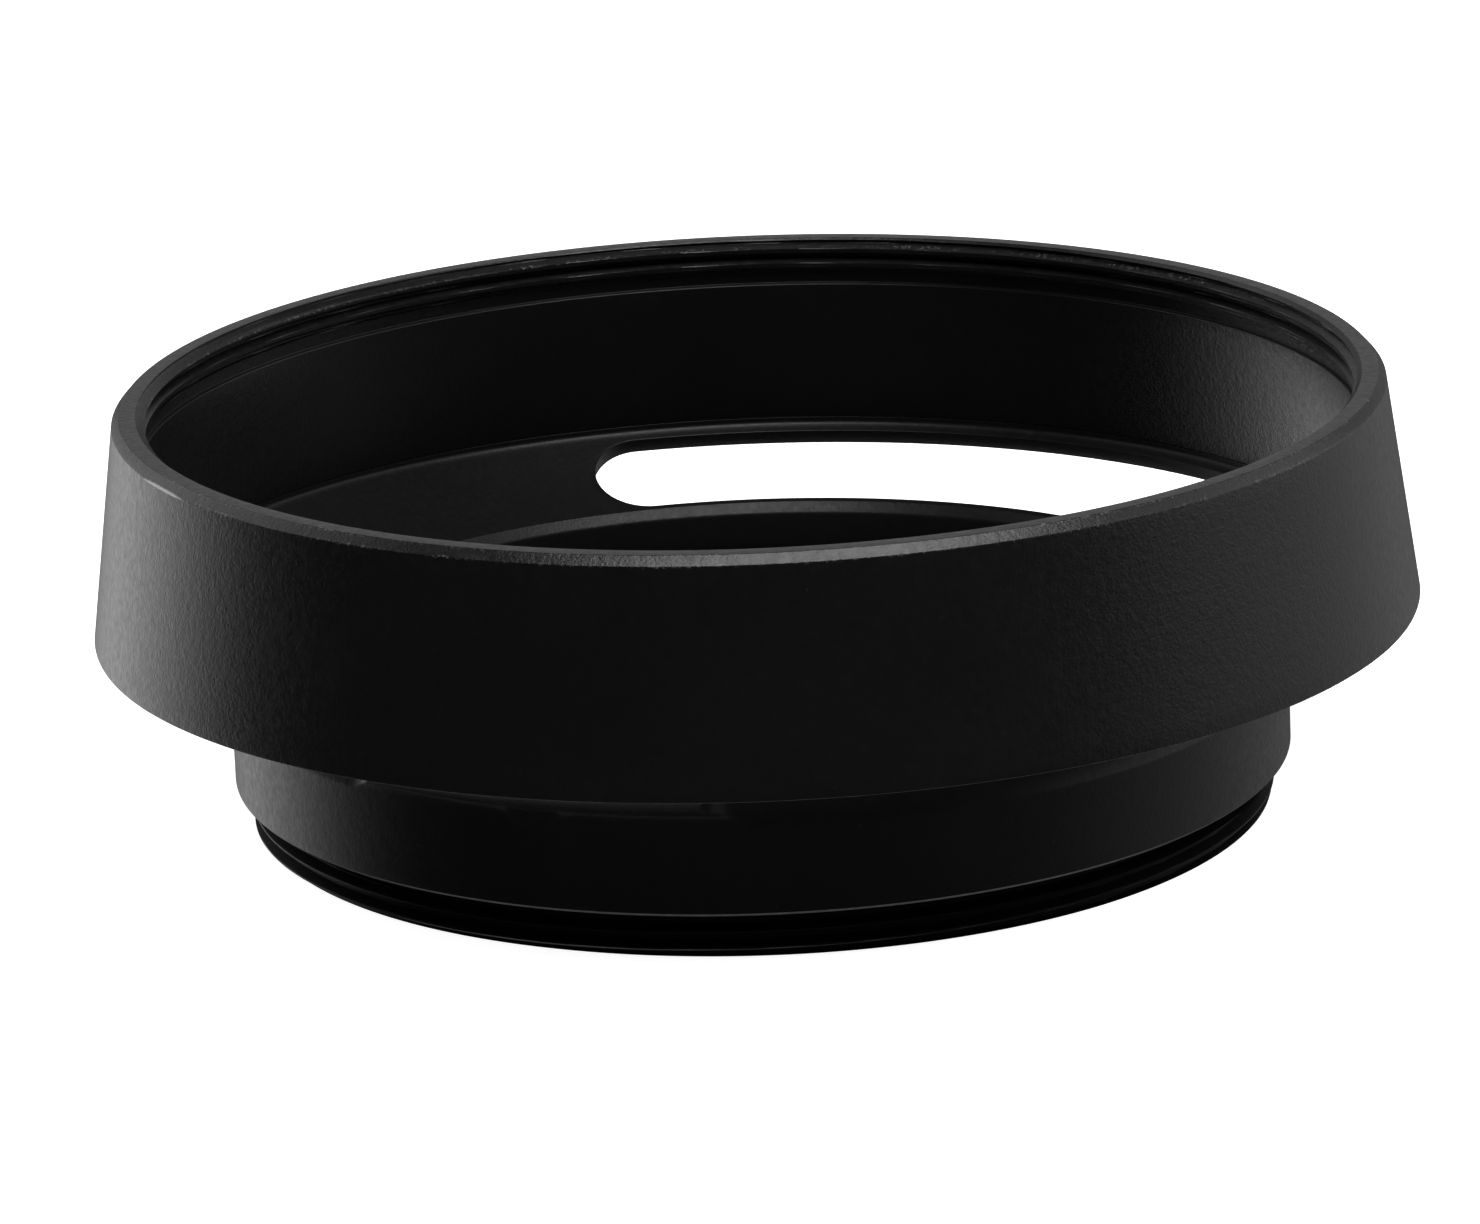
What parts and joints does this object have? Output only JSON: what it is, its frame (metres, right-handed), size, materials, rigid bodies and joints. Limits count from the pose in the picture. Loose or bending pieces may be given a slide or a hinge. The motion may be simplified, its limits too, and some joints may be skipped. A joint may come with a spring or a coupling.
{
  "type": "vented screw-in lens hood",
  "caption": "Tapered round metal lens hood, open at the front, with long slots through a shallow inner cone, a female thread in the front lip and a male filter thread at the rear.",
  "frame": {"origin": "centre of the rear end face of the male mounting thread", "axes": "+Z along the optical axis towards the front opening, +Y through the middle of one vent slot"},
  "size_m": [0.0632, 0.0632, 0.0205],
  "materials": {
    "anodised_shade": "black anodised over a fine bead-blasted surface, satin, with slightly brighter turned edges",
    "anodised_vent": "black anodised over a fine bead-blasted surface, satin matt",
    "anodised_thread": "black anodised over a turned thread, semi matt"
  },
  "bodies": {
    "root": {"shade_ring": "anodised_shade", "vent_ring": "anodised_vent", "mount_thread_ring": "anodised_thread"}
  },
  "joints": []
}
